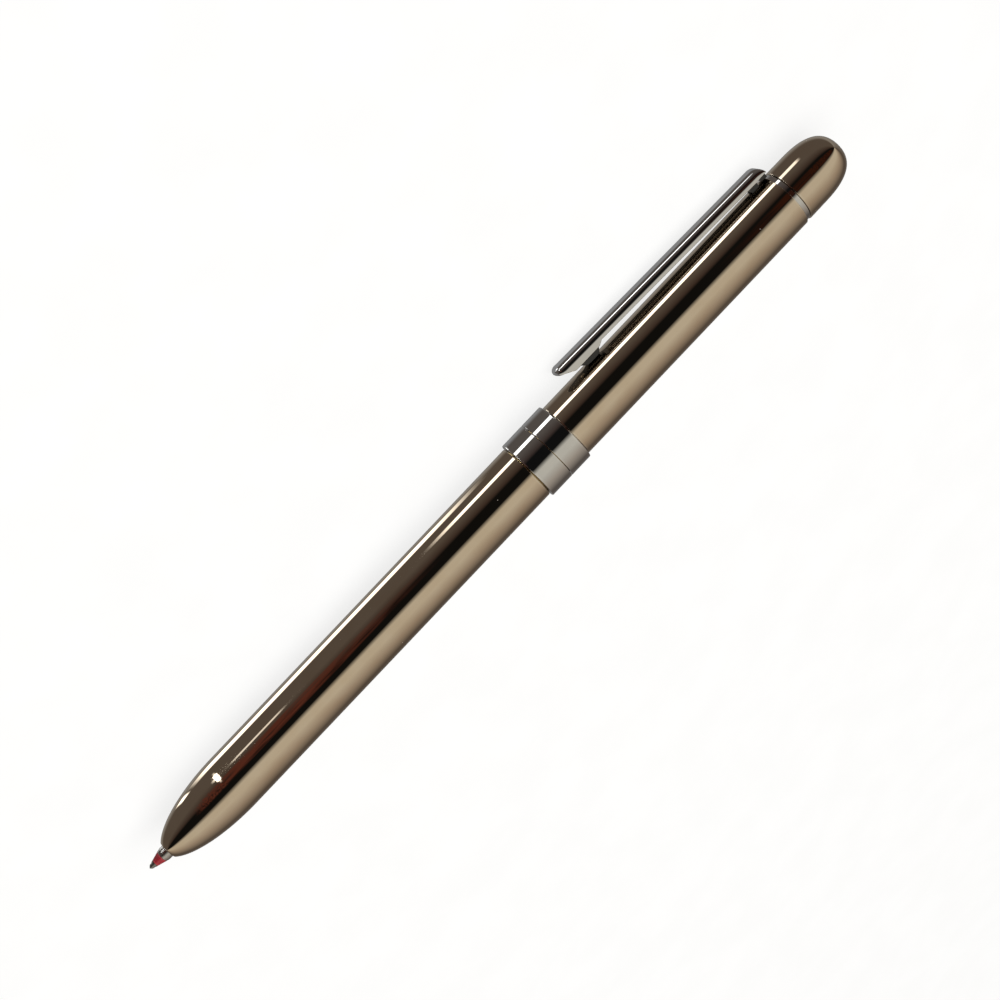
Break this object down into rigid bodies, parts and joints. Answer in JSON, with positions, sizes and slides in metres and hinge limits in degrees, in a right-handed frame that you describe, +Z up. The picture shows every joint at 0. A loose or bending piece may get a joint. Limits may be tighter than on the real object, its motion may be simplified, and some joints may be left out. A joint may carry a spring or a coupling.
{
  "type": "multi-function pen",
  "caption": "Slim metal pen: twist the upper barrel to swap red ink, black ink and a pencil; click the domed crown; sprung pocket clip and split centre band.",
  "frame": {"origin": "the middle of the lower half of the centre band, on its lowest flat, where the pen rests on a table", "axes": "+X along the pen towards the crown, +Z up, +Y to the side that the clip leans on"},
  "size_m": [0.1396, 0.0118, 0.0099],
  "materials": {
    "bronze_plate": "mirror-polished bronze plating over brass",
    "chrome_plate": "mirror-polished plating",
    "clip_chrome": "mirror-polished plating over spring steel",
    "brass": "turned, unplated",
    "spring_steel": "bright drawn wire",
    "refill_metal": "satin drawn tube",
    "point_metal": "fine turned, dark",
    "cage_plastic": "natural acetal",
    "black_plastic": "moulded",
    "grey_plastic": "moulded acetal",
    "red_plastic": "moulded, semi-gloss",
    "black_ink_plastic": "moulded, semi-gloss",
    "rubber_ring": "moulded nitrile",
    "graphite": "polymer lead",
    "white_eraser": "soft vinyl"
  },
  "bodies": {
    "core": {"coupling_sleeve": "brass", "lower_band": "chrome_plate", "friction_o_ring": "rubber_ring", "retaining_ring": "spring_steel", "guide_cage": "cage_plastic", "pencil_carrier": "black_plastic", "pencil_spring": "spring_steel", "pencil_body": "refill_metal", "pencil_cone": "chrome_plate", "pencil_lead_sleeve": "refill_metal", "pencil_lead": "graphite", "red_spring": "spring_steel", "black_spring": "spring_steel"},
    "front_barrel": {"lower_barrel": "bronze_plate"},
    "rear_barrel": {"upper_band": "chrome_plate", "upper_barrel": "bronze_plate", "guide_bush": "black_plastic", "cam": "grey_plastic", "knock_spring": "spring_steel"},
    "clip": {"clip": "clip_chrome"},
    "knock": {"knock_tube": "brass", "neck_ring": "chrome_plate", "eraser": "white_eraser"},
    "crown": {"crown": "bronze_plate"},
    "red_carrier": {"red_carrier": "black_plastic"},
    "red_refill": {"red_refill_tube": "refill_metal", "red_colour_plug": "red_plastic", "red_point": "point_metal"},
    "black_carrier": {"black_carrier": "black_plastic"},
    "black_refill": {"black_refill_tube": "refill_metal", "black_colour_plug": "black_ink_plastic", "black_point": "point_metal"}
  },
  "joints": [
    {"name": "twist", "type": "hinge", "parent": "core", "child": "rear_barrel", "pos_m": [0.00195, 0, 0.00494], "axis": [1, 0, 0], "range_deg": [0, 120]},
    {"name": "lower_barrel_removal", "type": "slide", "parent": "core", "child": "front_barrel", "axis": [-1, 0, 0], "range_m": [0, 0.08]},
    {"name": "knock_push", "type": "slide", "parent": "rear_barrel", "child": "knock", "axis": [-1, 0, 0], "range_m": [0, 0.00075], "stiffness_N_per_m": 800, "springref_m": -0.001, "deforming": ["knock_spring"]},
    {"name": "crown_pull", "type": "slide", "parent": "knock", "child": "crown", "axis": [1, 0, 0], "range_m": [0, 0.016]},
    {"name": "clip_lift", "type": "hinge", "parent": "rear_barrel", "child": "clip", "pos_m": [0.04845, 0.00377, 0.00267], "axis": [0, -0.5163, -0.8564], "range_deg": [0, 3], "stiffness_Nm_per_rad": 1.6, "springref_deg": -0.57},
    {"name": "red_slide", "type": "slide", "parent": "core", "child": "red_carrier", "axis": [1, 0, 0], "range_m": [0, 0.009], "deforming": ["red_spring"]},
    {"name": "red_tilt", "type": "hinge", "parent": "red_carrier", "child": "red_refill", "pos_m": [-0.01305, 0, 0.00716], "axis": [0, 1, 0], "range_deg": [0, 2.19]},
    {"name": "black_slide", "type": "slide", "parent": "core", "child": "black_carrier", "axis": [-1, 0, 0], "range_m": [0, 0.009], "deforming": ["black_spring"]},
    {"name": "black_tilt", "type": "hinge", "parent": "black_carrier", "child": "black_refill", "pos_m": [-0.00405, -0.00192, 0.00383], "axis": [0, 0.5, -0.866], "range_deg": [0, 2.19]}
  ],
  "couplings": [
    {"joint": "red_slide", "follows": "twist", "m_per_rad": 0.0042972},
    {"joint": "red_tilt", "follows": "twist", "ratio": 0.018227},
    {"joint": "black_slide", "follows": "twist", "m_per_rad": 0.0042972},
    {"joint": "black_tilt", "follows": "twist", "ratio": 0.018227}
  ]
}
